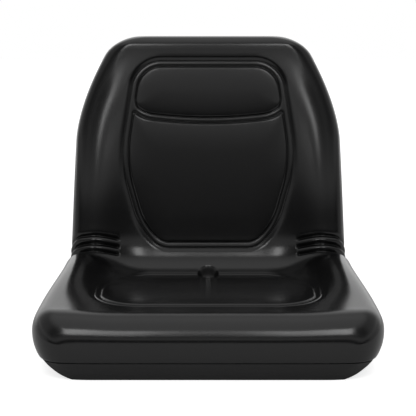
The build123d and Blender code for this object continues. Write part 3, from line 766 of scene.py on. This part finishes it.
class FormGrid:
    """The closed form as rows and columns of faces that can be halved near detail."""

    def __init__(self):
        self.bm = bmesh.new()
        # A column is kept as a point on a circle, so that halving works across the closing column too
        self.layers = [self.bm.verts.layers.float.new(name) for name in ("column_x", "column_y", "row")]
        u_values = np.concatenate([k + np.arange(n) / n for k, n in enumerate(COLUMNS)])
        v_values = np.concatenate([k + np.arange(n) / n for k, (_, n) in enumerate(STRETCHES)])
        rows = [[self.vertex(u, v) for u in u_values] for v in (*v_values, LAST_ROW)]
        count = len(u_values)
        for near, far in zip(rows, rows[1:]):
            for k in range(count):
                following = (k + 1) % count
                self.bm.faces.new((near[k], far[k], far[following], near[following]))
        self.bm.faces.new(rows[0])
        self.bm.faces.new(list(reversed(rows[-1])))

    def vertex(self, u, v):
        """A vertex that knows its column and row."""
        vertex = self.bm.verts.new((u, v, 0.0))
        turn = 2 * pi * u / SECTION_CURVES
        for layer, value in zip(self.layers, (cos(turn), sin(turn), v)):
            vertex[layer] = value
        return vertex

    def columns_and_rows(self):
        """Column and row of every vertex."""
        values = np.array([[vertex[layer] for layer in self.layers] for vertex in self.bm.verts])
        turn = np.arctan2(values[:, 1], values[:, 0]) % (2 * pi)
        return turn / (2 * pi) * SECTION_CURVES, values[:, 2]

    def halve(self, near):
        """Halves every face that has a vertex near detail."""
        self.bm.verts.index_update()
        sides = [f for f in self.bm.faces if len(f.verts) <= MOST_CORNERS]
        faces = [f for f in sides if any(near[v.index] for v in f.verts)]
        edges = {e for f in faces for e in f.edges}
        bmesh.ops.subdivide_edges(self.bm, edges=list(edges), cuts=1, use_grid_fill=True)


# Distance from detail within which faces are halved, one row for each pass: channels,
# channel edges, pleats, folds, rim of the drain hollow, rim of the pan
REFINE_LIMITS = (
    (0.0075, 0.0, 0.008, 0.0, 0.016, 0.007),
    (0.0040, 0.0, 0.005, 0.0, 0.012, 0.004),
    (-1.0, 0.0019, -1.0, 0.0022, 0.0022, -1.0),
)


def cushion_mesh(form, relief):
    """The cushion's skin: the form with its channels, pads, pleats, drain hollow and turned edge."""
    grid = FormGrid()
    for limits in REFINE_LIMITS:
        u, v = grid.columns_and_rows()
        distances = detail_distances(form, relief, form_points(form, u, v), u)
        grid.halve(np.any([d < limit for d, limit in zip(distances, limits)], axis=0))
    u, v = grid.columns_and_rows()
    for layer in grid.bm.verts.layers.float.values():
        grid.bm.verts.layers.float.remove(layer)
    mesh = bpy.data.meshes.new("moulded_cushion")
    grid.bm.to_mesh(mesh)
    grid.bm.free()
    points = flattened(form, soft_points(form, u, v))
    mesh.vertices.foreach_set("co", points.astype(np.float32).ravel())
    mesh.update()
    normals = np.zeros(len(points) * 3, np.float32)
    mesh.vertex_normals.foreach_get("vector", normals)
    moves, drop = relief_moves(form, relief, points, u)
    points = points + normals.reshape(-1, 3) * moves[:, None]
    points[:, 2] = np.maximum(points[:, 2] - drop, form.floor_height)
    mesh.vertices.foreach_set("co", points.astype(np.float32).ravel())
    shade_smooth(mesh)
    return mesh


def flattened(form, points):
    """The points with the rear brought to the flat that the back pan lies on."""
    up, out = back_directions(form)
    depth = form.crease_radius + form.back_thickness
    _, outward = back_coordinates(form, points)
    blend = form.flat_allowance
    beyond = outward - depth
    push = np.where(beyond > -blend, (beyond + blend) ** 2 / (4 * blend), 0)
    push = np.where(beyond > blend, beyond, push)
    moved = points.copy()
    moved[:, 1:] -= push[:, None] * out
    return moved


def dressed_copy(node, name, bevel):
    """A CAD node's own shape with its edges eased, as a new piece."""
    mesh = frame["nodes"][node].data.copy()
    mesh.name = name
    mesh.materials.clear()
    bm = bmesh.new()
    bm.from_mesh(mesh)
    bmesh.ops.remove_doubles(bm, verts=bm.verts, dist=MERGE_DISTANCE)
    bmesh.ops.dissolve_degenerate(bm, dist=SLIVER_LENGTH, edges=bm.edges)
    bm.to_mesh(mesh)
    bm.free()
    shade_smooth(mesh)
    piece = new_object(name, mesh)
    ease = piece.modifiers.new("Eased edges", "BEVEL")
    ease.width = bevel
    ease.segments = EASED_EDGE_SEGMENTS
    ease.limit_method = "ANGLE"
    ease.angle_limit = radians(EASED_EDGE_ANGLE)
    ease.harden_normals = False
    even = piece.modifiers.new("Even shading", "WEIGHTED_NORMAL")
    even.keep_sharp = False
    return piece


def plain_piece(source, name):
    """The result of a source object's modifiers as a piece of its own; the source is deleted."""
    graph = bpy.context.evaluated_depsgraph_get()
    mesh = bpy.data.meshes.new_from_object(source.evaluated_get(graph))
    mesh.name = name
    bpy.data.objects.remove(source)
    shade_smooth(mesh)
    return new_object(name, mesh)


def arc(centre, radius, start, end, count):
    """Points of an arc, both ends among them."""
    turns = np.linspace(start, end, count)
    return [(centre[0] + radius * cos(a), centre[1] + radius * sin(a)) for a in turns]


def ring(radius, height, facets):
    """Points of a level circle round the Z axis."""
    turns = [2 * pi * k / facets for k in range(facets)]
    return [(radius * cos(a), radius * sin(a), height) for a in turns]


def ringed_mesh(name, rings):
    """A closed skin over rings of points, with the last ring joined to the first."""
    count = len(rings[0])
    faces = []
    for near in range(len(rings)):
        far = (near + 1) % len(rings)
        for k in range(count):
            on = (k + 1) % count
            faces.append((near * count + k, near * count + on, far * count + on, far * count + k))
    mesh = bpy.data.meshes.new(name)
    mesh.from_pydata([point for points in rings for point in points], [], faces)
    mesh.update()
    return mesh


# Materials

NOISE_SPAN = (0.3, 0.7)  # values that most of a noise lies between
MIX_FIRST, MIX_SECOND, MIX_RESULT = 6, 7, 2  # colour sockets of a Mix node


class ShaderTree:
    """A shader node tree under construction."""

    def __init__(self, tree):
        self.tree = tree

    def node(self, kind, **values):
        """A new node with its properties and named inputs set."""
        node = self.tree.nodes.new(kind)
        for key, value in values.items():
            if key in node.inputs:
                node.inputs[key].default_value = value
            else:
                setattr(node, key, value)
        return node

    def link(self, output, target):
        """Joins an output to an input."""
        self.tree.links.new(output, target)

    def ranged(self, value, low, high, to_low, to_high, curve="LINEAR"):
        """A value taken from one range to another."""
        mapped = self.node("ShaderNodeMapRange", interpolation_type=curve)
        for socket, number in zip(("From Min", "From Max", "To Min", "To Max"), (low, high, to_low, to_high)):
            mapped.inputs[socket].default_value = number
        self.link(value, mapped.inputs["Value"])
        return mapped.outputs["Result"]

    def math(self, operation, first, second):
        """An output and another output, or a number, put together."""
        node = self.node("ShaderNodeMath", operation=operation)
        self.link(first, node.inputs[0])
        if isinstance(second, float):
            node.inputs[1].default_value = second
        else:
            self.link(second, node.inputs[1])
        return node.outputs["Value"]

    def split(self, vector):
        """The X, Y and Z of a vector."""
        parts = self.node("ShaderNodeSeparateXYZ")
        self.link(vector, parts.inputs["Vector"])
        return parts.outputs


class Shade(ShaderTree):
    """A node material under construction."""

    def __init__(self, name):
        self.material = bpy.data.materials.new(name)
        self.material.use_nodes = True
        super().__init__(self.material.node_tree)
        self.surface = self.tree.nodes["Principled BSDF"].inputs

    def object_place(self):
        """The piece's own coordinates."""
        return self.node("ShaderNodeTexCoord").outputs["Object"]

    def noise(self, scale, detail):
        """Soft noise at so many cells to the metre."""
        noise = self.node("ShaderNodeTexNoise", Scale=scale, Detail=detail)
        self.link(self.object_place(), noise.inputs["Vector"])
        return noise.outputs["Fac"]

    def pebbles(self, scale, smoothness):
        """Rounded cells at so many to the metre."""
        cells = self.node("ShaderNodeTexVoronoi", Scale=scale, feature="SMOOTH_F1")
        cells.inputs["Smoothness"].default_value = smoothness
        self.link(self.object_place(), cells.inputs["Vector"])
        return cells.outputs["Distance"]

    def tone(self, share, colour_value, darkest, lightest):
        """Colours the surface between two shades of one colour."""
        mix = self.node("ShaderNodeMix", data_type="RGBA")
        for socket, shade in ((MIX_FIRST, darkest), (MIX_SECOND, lightest)):
            mixed = [min(1.0, channel * shade) for channel in colour_value]
            mix.inputs[socket].default_value = (*mixed, 1.0)
        self.link(share, mix.inputs["Factor"])
        self.link(mix.outputs[MIX_RESULT], self.surface["Base Color"])

    def roughness(self, noise, low, high):
        """Spreads the surface's roughness between two values."""
        self.link(self.ranged(noise, *NOISE_SPAN, low, high), self.surface["Roughness"])

    def raised(self, height, distance, strength, under=None):
        """Raises the surface by a height, over another rise; gives the rise."""
        bump = self.node("ShaderNodeBump", Strength=strength, Distance=distance)
        self.link(height, bump.inputs["Height"])
        if under is not None:
            self.link(under, bump.inputs["Normal"])
        self.link(bump.outputs["Normal"], self.surface["Normal"])
        return bump.outputs["Normal"]


def vinyl_material(finish):
    """Black satin vinyl with a fine pebbled grain."""
    shade = Shade("black_vinyl_skin")
    wrinkles = shade.noise(scale=420.0, detail=4.0)
    shade.tone(shade.noise(scale=16.0, detail=2.0), finish.vinyl, 0.85, 1.15)
    shade.roughness(wrinkles, 0.18, 0.23)
    grain = shade.raised(shade.pebbles(scale=900.0, smoothness=0.6), distance=0.00005, strength=0.18)
    shade.raised(wrinkles, distance=0.00006, strength=0.14, under=grain)
    return shade.material


def paint_material(finish):
    """Satin black powder coat with a fine orange peel."""
    shade = Shade("black_powder_coat")
    cloud = shade.noise(scale=12.0, detail=2.0)
    shade.tone(cloud, finish.paint, 0.9, 1.15)
    shade.roughness(cloud, 0.38, 0.46)
    shade.raised(shade.noise(scale=700.0, detail=2.0), distance=0.00008, strength=0.5)
    return shade.material


def rubber_material(finish):
    """Matt black extruded rubber."""
    shade = Shade("black_rubber_trim")
    dust = shade.noise(scale=260.0, detail=5.0)
    shade.tone(dust, finish.rubber, 1.0, 1.5)
    shade.roughness(dust, 0.52, 0.66)
    shade.raised(dust, distance=0.00006, strength=0.5)
    return shade.material


def zinc_material(finish):
    """Zinc-plated steel."""
    shade = Shade("zinc_plated_steel")
    scuff = shade.noise(scale=900.0, detail=4.0)
    shade.tone(scuff, finish.zinc, 0.82, 1.0)
    shade.surface["Metallic"].default_value = 1.0
    shade.roughness(scuff, 0.28, 0.42)
    shade.raised(scuff, distance=0.00003, strength=0.5)
    return shade.material


def nylon_material(finish):
    """Black moulded nylon."""
    shade = Shade("black_nylon")
    mottle = shade.noise(scale=600.0, detail=3.0)
    shade.tone(mottle, finish.nylon, 1.0, 1.3)
    shade.roughness(mottle, 0.30, 0.42)
    shade.raised(mottle, distance=0.00004, strength=0.4)
    return shade.material


# Geometry node trees

class Nodes:
    """A geometry node tree under construction, with named inputs."""

    def __init__(self, name):
        self.tree = bpy.data.node_groups.new(name, "GeometryNodeTree")
        self.tree.interface.new_socket("Geometry", in_out="INPUT", socket_type="NodeSocketGeometry")
        self.tree.interface.new_socket("Geometry", in_out="OUTPUT", socket_type="NodeSocketGeometry")
        self.inputs = self.tree.nodes.new("NodeGroupInput")
        self.outputs = self.tree.nodes.new("NodeGroupOutput")

    def socket(self, name, kind):
        """A named input of the tree."""
        self.tree.interface.new_socket(name, in_out="INPUT", socket_type=kind)
        return self.inputs.outputs[name]

    def node(self, kind):
        """A new node."""
        return self.tree.nodes.new(kind)

    def link(self, output, target):
        """Joins an output to an input."""
        self.tree.links.new(output, target)

    def close(self, geometry, material):
        """Realizes the instances, sets the material and ends the tree."""
        real = self.node("GeometryNodeRealizeInstances")
        painted = self.node("GeometryNodeSetMaterial")
        self.link(geometry, real.inputs["Geometry"])
        self.link(real.outputs["Geometry"], painted.inputs["Geometry"])
        self.link(material, painted.inputs["Material"])
        self.link(painted.outputs["Geometry"], self.outputs.inputs["Geometry"])


def run_tree(source, tree, values):
    """Puts a tree on an object, with its named inputs set."""
    modifier = source.modifiers.new(tree.name, "NODES")
    modifier.node_group = tree
    for item in tree.interface.items_tree:
        if item.in_out == "INPUT" and item.name in values:
            modifier[item.identifier] = values[item.name]


def sweep_tree():
    """Sweeps a closed profile along a closed outline."""
    nodes = Nodes("edge_trim_sweep")
    profile = nodes.socket("Profile", "NodeSocketObject")
    material = nodes.socket("Material", "NodeSocketMaterial")
    path = nodes.node("GeometryNodeMeshToCurve")
    upright = nodes.node("GeometryNodeSetCurveNormal")
    upright.mode = "Z_UP"
    section = nodes.node("GeometryNodeObjectInfo")
    section_curve = nodes.node("GeometryNodeMeshToCurve")
    sweep = nodes.node("GeometryNodeCurveToMesh")
    nodes.link(nodes.inputs.outputs["Geometry"], path.inputs["Mesh"])
    nodes.link(path.outputs["Curve"], upright.inputs["Curve"])
    nodes.link(profile, section.inputs["Object"])
    nodes.link(section.outputs["Geometry"], section_curve.inputs["Mesh"])
    nodes.link(upright.outputs["Curve"], sweep.inputs["Curve"])
    nodes.link(section_curve.outputs["Curve"], sweep.inputs["Profile Curve"])
    nodes.close(sweep.outputs["Mesh"], material)
    return nodes.tree


def pattern_tree():
    """Copies one piece to the four corners of the bolt pattern."""
    nodes = Nodes("weld_nut_pattern")
    part = nodes.socket("Nut", "NodeSocketObject")
    spacing_x = nodes.socket("Spacing X", "NodeSocketFloat")
    spacing_y = nodes.socket("Spacing Y", "NodeSocketFloat")
    material = nodes.socket("Material", "NodeSocketMaterial")
    grid = nodes.node("GeometryNodeMeshGrid")
    grid.inputs["Vertices X"].default_value = 2
    grid.inputs["Vertices Y"].default_value = 2
    info = nodes.node("GeometryNodeObjectInfo")
    copies = nodes.node("GeometryNodeInstanceOnPoints")
    nodes.link(spacing_x, grid.inputs["Size X"])
    nodes.link(spacing_y, grid.inputs["Size Y"])
    nodes.link(part, info.inputs["Object"])
    nodes.link(grid.outputs["Mesh"], copies.inputs["Points"])
    nodes.link(info.outputs["Geometry"], copies.inputs["Instance"])
    nodes.close(copies.outputs["Instances"], material)
    return nodes.tree


# Operators

class SEAT_OT_moulded_cushion(bpy.types.Operator):
    """Builds the one-piece vinyl cushion"""

    bl_idname = "seat.moulded_cushion"
    bl_label = "Moulded cushion"

    def execute(self, context):
        scene = context.scene
        mesh = cushion_mesh(scene.seat_form, scene.seat_relief)
        mesh.materials.append(vinyl_material(scene.seat_finish))
        cushion = new_object("cushion_skin", mesh)
        finish_piece(cushion, "moulded_cushion")
        return {"FINISHED"}


class SEAT_OT_pans(bpy.types.Operator):
    """Dresses the base pan and the back pan in powder coat"""

    bl_idname = "seat.pans"
    bl_label = "Pans"

    def execute(self, context):
        fitting = context.scene.seat_fitting
        paint = paint_material(context.scene.seat_finish)
        pans = (("base_pan", "base_tray", fitting.base_ease), ("back_pan", "back_plate", fitting.back_ease))
        for node, name, bevel in pans:
            piece = dressed_copy(node, name, bevel)
            piece.data.materials.append(paint)
            finish_piece(piece, node)
        return {"FINISHED"}


class SEAT_OT_edge_trim(bpy.types.Operator):
    """Sweeps the rubber trim round the back pan"""

    bl_idname = "seat.edge_trim"
    bl_label = "Edge trim"

    def execute(self, context):
        fitting = context.scene.seat_fitting
        corners = [
            (fitting.back_pan_top_half, fitting.back_pan_high),
            (fitting.back_pan_half, fitting.back_pan_knee),
            (fitting.back_pan_half, fitting.back_pan_low),
        ]
        path = loop_object("trim_path", rounded_outline(corners, BACK_PAN_RADII, fitting.trim_step))
        profile = loop_object("trim_profile", trim_profile(fitting))
        rubber = rubber_material(context.scene.seat_finish)
        run_tree(path, sweep_tree(), {"Profile": profile, "Material": rubber})
        trim = plain_piece(path, "rubber_edge_trim")
        bpy.data.objects.remove(profile)
        trim.data.transform(rear_placement(context.scene.seat_form))
        finish_piece(trim, "back_edge_trim")
        return {"FINISHED"}


def loop_object(name, points):
    """A closed line of points in the XY plane, as an object."""
    mesh = bpy.data.meshes.new(name)
    count = len(points)
    mesh.from_pydata([(x, y, 0.0) for x, y in points], [(k, (k + 1) % count) for k in range(count)], [])
    return new_object(name, mesh)


def trim_profile(fitting):
    """Section of the hooked trim strip: outwards is X, off the seat's rear is Y."""
    top = fitting.pan_thickness + fitting.trim_cover
    bulge = fitting.trim_bulge
    half_cover = fitting.trim_cover / 2
    corner = arc((fitting.trim_outside - bulge, top - bulge), bulge, 0, pi / 2, 5)
    nose = arc((half_cover - fitting.trim_inside, top - half_cover), half_cover, pi / 2, 3 * pi / 2, 7)
    gap = fitting.trim_gap
    return [(fitting.trim_outside, 0.0), *corner, *nose, (gap, fitting.pan_thickness), (gap, 0.0)]


def rear_placement(form):
    """Turns X across, Y up and Z out into the plane of the backrest's rear."""
    up, out = back_directions(form)
    depth = form.crease_radius + form.back_thickness
    origin = axis_point(form) + out * depth
    matrix = Matrix.Identity(4)
    matrix.col[1] = (0.0, up[0], up[1], 0.0)
    matrix.col[2] = (0.0, out[0], out[1], 0.0)
    matrix.translation = (0.0, origin[0], origin[1])
    return matrix


class SEAT_OT_weld_nuts(bpy.types.Operator):
    """Sets the threaded weld nuts over the mounting holes"""

    bl_idname = "seat.weld_nuts"
    bl_label = "Weld nuts"

    def execute(self, context):
        low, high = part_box("mount_weld_nuts")
        mounts = {mount["name"]: mount for mount in frame["record"]["mounts"]}
        if "seat_mount" not in mounts:
            raise RuntimeError("The record has no seat_mount to set the weld nuts by")
        dims = mounts["seat_mount"]["dims"]
        nut = new_object("one_weld_nut", nut_mesh(context.scene.seat_fitting, low.z, high.z))
        carrier = new_object("nut_pattern", bpy.data.meshes.new("nut_pattern"))
        values = {
            "Nut": nut,
            "Spacing X": dims["spacing_x_mm"] * MILLIMETRE,
            "Spacing Y": dims["spacing_y_mm"] * MILLIMETRE,
            "Material": zinc_material(context.scene.seat_finish),
        }
        run_tree(carrier, pattern_tree(), values)
        nuts = plain_piece(carrier, "threaded_weld_nuts")
        bpy.data.objects.remove(nut)
        nuts.data.polygons.foreach_set("use_smooth", np.zeros(len(nuts.data.polygons), bool))
        finish_piece(nuts, "mount_weld_nuts")
        return {"FINISHED"}


def hexagon_ring(fitting, height, shrink):
    """Points of a level hexagon with blunt corners."""
    sector = 2 * pi / NUT_SIDES
    flat = fitting.nut_across / 2
    points = []
    for k in range(NUT_FACETS):
        a = 2 * pi * k / NUT_FACETS
        from_flat = (a + sector / 2) % sector - sector / 2
        reach = min(flat / cos(from_flat), flat * fitting.nut_corner) - shrink
        points.append((reach * cos(a), reach * sin(a), height))
    return points


def nut_mesh(fitting, bottom, top):
    """One hexagon nut with chamfered corners and a thread in its bore."""
    chamfer = fitting.nut_chamfer
    outside = ((bottom, 0.0), (top - chamfer, 0.0), (top, chamfer))
    rings = [hexagon_ring(fitting, height, shrink) for height, shrink in outside]
    half_turns = int((top - bottom) / fitting.thread_pitch * 2)
    for k in range(half_turns, -1, -1):
        radius = fitting.nut_bore / 2 + (fitting.thread_depth if k % 2 else 0.0)
        rings.append(ring(radius, bottom + (top - bottom) * k / half_turns, NUT_FACETS))
    return ringed_mesh("one_weld_nut", rings)


class SEAT_OT_drain_tube(bpy.types.Operator):
    """Turns the flanged drain tube in the crease"""

    bl_idname = "seat.drain_tube"
    bl_label = "Drain tube"

    def execute(self, context):
        relief = context.scene.seat_relief
        low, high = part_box("drain_tube")
        profile = drain_profile(relief, context.scene.seat_fitting, low.z, high.z)
        mesh = ringed_mesh("drain_tube", [ring(*place, TUBE_FACETS) for place in profile])
        mesh.transform(Matrix.Translation((0.0, relief.drain_y, 0.0)))
        mesh.materials.append(nylon_material(context.scene.seat_finish))
        shade_smooth(mesh)
        finish_piece(new_object("drain_grommet", mesh), "drain_tube")
        return {"FINISHED"}


def drain_profile(relief, fitting, bottom, top):
    """Closed section of the tube and its rounded flange, as radius and height."""
    bore = relief.drain_bore / 2
    tube = bore + fitting.tube_wall
    rim = fitting.flange_thickness / 2
    edge = arc((relief.drain_flange / 2 - rim, top - rim), rim, -pi / 2, pi / 2, 9)
    lip = arc((bore + rim, top - rim), rim, pi / 2, pi, 6)
    return [(bore, bottom), (tube, bottom), (tube, top - fitting.flange_thickness), *edge, *lip]


class SEAT_OT_stage(bpy.types.Operator):
    """Sets the floor, the lamps, the background and the camera"""

    bl_idname = "seat.stage"
    bl_label = "Stage"

    def execute(self, context):
        stage = context.scene.seat_stage
        context.scene.view_settings.view_transform = "Standard"
        make_floor(stage)
        make_lamps(stage)
        make_background(context.scene)
        make_camera(context.scene, stage)
        return {"FINISHED"}


def make_floor(stage):
    """A pale floor that is white to the camera and keeps the seat's shadow."""
    half = stage.floor_size / 2
    near = -stage.floor_front
    corners = [(-half, near, 0), (half, near, 0), (half, half, 0), (-half, half, 0)]
    mesh = bpy.data.meshes.new("studio_floor")
    mesh.from_pydata(corners, [], [(0, 1, 2, 3)])
    shade = Shade("pale_floor")
    shade.surface["Base Color"].default_value = (*stage.floor_white, 1.0)
    shade.surface["Roughness"].default_value = stage.floor_roughness
    shade.surface["Specular IOR Level"].default_value = 0.0
    rays = shade.node("ShaderNodeLightPath").outputs
    place = shade.split(shade.object_place())
    behind = shade.ranged(place["Y"], stage.mirror_start, stage.mirror_full, 0.0, 1.0)
    mirrored = shade.math("MULTIPLY", rays["Is Glossy Ray"], behind)
    direct = shade.math("MAXIMUM", rays["Is Camera Ray"], rays["Is Transmission Ray"])
    seen = shade.math("MAXIMUM", direct, mirrored)
    glow = shade.node("ShaderNodeEmission")
    shade.link(shade.math("MULTIPLY", seen, stage.floor_glow), glow.inputs["Strength"])
    total = shade.node("ShaderNodeAddShader")
    shade.link(shade.tree.nodes["Principled BSDF"].outputs["BSDF"], total.inputs[0])
    shade.link(glow.outputs["Emission"], total.inputs[1])
    shade.link(total.outputs["Shader"], shade.tree.nodes["Material Output"].inputs["Surface"])
    mesh.materials.append(shade.material)
    floor = new_object("studio_floor", mesh)
    floor.location.z = -stage.floor_drop


def aimed(location, target):
    """A placement that looks from one point at another."""
    turn = (Vector(target) - Vector(location)).to_track_quat("-Z", "Y")
    return Matrix.LocRotScale(Vector(location), turn, None)


def make_lamps(stage):
    """Two soft lamps high in front of the seat, one on each side."""
    for side, name in ((-1, "left_soft_lamp"), (1, "right_soft_lamp")):
        data = bpy.data.lights.new(name, "AREA")
        data.shape = "RECTANGLE"
        data.size = stage.lamp_width
        data.size_y = stage.lamp_length
        data.energy = stage.lamp_power
        lamp = bpy.data.objects.new(name, data)
        bpy.context.scene.collection.objects.link(lamp)
        place = (side * stage.lamp_side, -stage.lamp_front, stage.lamp_height)
        lamp.matrix_world = aimed(place, (0, 0, stage.lamp_aim))


# Brightness of the studio by direction: start and end along an axis, and the brightness at each
BESIDE_ALONG_Y = (-0.75, -0.20, 0.0, 0.42)
BEHIND_ALONG_Y = (0.30, 0.90, 0.0, 1.0)
HORIZON_ALONG_Z = (0.15, 0.27, 0.02, 0.72)
ABOVE_HORIZON_ALONG_Z = (0.28, 0.46, 0.66, 0.15)
OVERHEAD_ALONG_Z = (0.60, 0.98, 0.0, 0.90)


def make_background(scene):
    """A white background, and a studio that is bright behind the seat and dimmer before it."""
    world = bpy.data.worlds.new("white_studio")
    scene.world = world
    world.use_nodes = True
    sky = ShaderTree(world.node_tree)
    rays = sky.node("ShaderNodeLightPath").outputs
    place = sky.split(sky.node("ShaderNodeTexCoord").outputs["Generated"])

    def band(axis, limits):
        """A smooth change of brightness along an axis."""
        return sky.ranged(place[axis], *limits, curve="SMOOTHSTEP")

    backdrop = sky.math("MAXIMUM", band("Y", BESIDE_ALONG_Y), band("Y", BEHIND_ALONG_Y))
    front = sky.math("MINIMUM", band("Z", HORIZON_ALONG_Z), band("Z", ABOVE_HORIZON_ALONG_Z))
    front = sky.math("MAXIMUM", front, band("Z", OVERHEAD_ALONG_Z))
    studio = sky.math("MAXIMUM", backdrop, front)
    # Glossy rays see the backdrop's white only behind the seat, where the studio is as bright too
    mirrored = sky.math("MULTIPLY", rays["Is Glossy Ray"], backdrop)
    direct = sky.math("MAXIMUM", rays["Is Camera Ray"], rays["Is Transmission Ray"])
    seen = sky.math("MAXIMUM", direct, mirrored)
    background = sky.tree.nodes["Background"].inputs
    sky.link(sky.math("MAXIMUM", studio, seen), background["Strength"])
    background["Color"].default_value = (1.0, 1.0, 1.0, 1.0)


def make_camera(scene, stage):
    """A camera at the photograph's angle."""
    data = bpy.data.cameras.new("photo_camera")
    camera = bpy.data.objects.new("photo_camera", data)
    scene.collection.objects.link(camera)
    data.lens = stage.focal_pixels / IMAGE_PIXELS * data.sensor_width
    data.shift_x = (IMAGE_PIXELS / 2 - stage.centre_x) / IMAGE_PIXELS
    data.shift_y = (stage.centre_y - IMAGE_PIXELS / 2) / IMAGE_PIXELS
    target = Vector((0.0, 0.0, stage.aim_height))
    away = Vector((0.0, -cos(stage.camera_elevation), sin(stage.camera_elevation)))
    camera.matrix_world = aimed(target + away * stage.camera_distance, target)
    scene.camera = camera


class SEAT_PT_panel(bpy.types.Panel):
    """Lists the pieces of the seat and their settings"""

    bl_idname = "SEAT_PT_panel"
    bl_label = "Seat"
    bl_space_type = "VIEW_3D"
    bl_region_type = "UI"
    bl_category = "Seat"

    def draw(self, context):
        for operator in OPERATORS:
            self.layout.operator(operator.bl_idname)
        for name in SETTINGS:
            group = getattr(context.scene, name)
            box = self.layout.box()
            for key in group.bl_rna.properties.keys():
                if key not in {"rna_type", "name"}:
                    box.prop(group, key)


SETTINGS = {
    "seat_form": SeatFormSettings,
    "seat_relief": SeatReliefSettings,
    "seat_fitting": SeatFittingSettings,
    "seat_finish": SeatFinishSettings,
    "seat_stage": SeatStageSettings,
}
OPERATORS = (
    SEAT_OT_moulded_cushion,
    SEAT_OT_pans,
    SEAT_OT_edge_trim,
    SEAT_OT_weld_nuts,
    SEAT_OT_drain_tube,
    SEAT_OT_stage,
)


def register():
    """Registers the settings, the operators and the panel."""
    for group in (*SETTINGS.values(), *OPERATORS, SEAT_PT_panel):
        bpy.utils.register_class(group)
    for name, group in SETTINGS.items():
        setattr(bpy.types.Scene, name, PointerProperty(type=group))


def unregister():
    """Takes the settings, the operators and the panel away."""
    for name in SETTINGS:
        delattr(bpy.types.Scene, name)
    for group in reversed((*SETTINGS.values(), *OPERATORS, SEAT_PT_panel)):
        bpy.utils.unregister_class(group)


def main():
    register()
    bpy.ops.seat.moulded_cushion()
    bpy.ops.seat.pans()
    bpy.ops.seat.edge_trim()
    bpy.ops.seat.weld_nuts()
    bpy.ops.seat.drain_tube()
    bpy.ops.seat.stage()


if __name__ == "__main__":
    main()
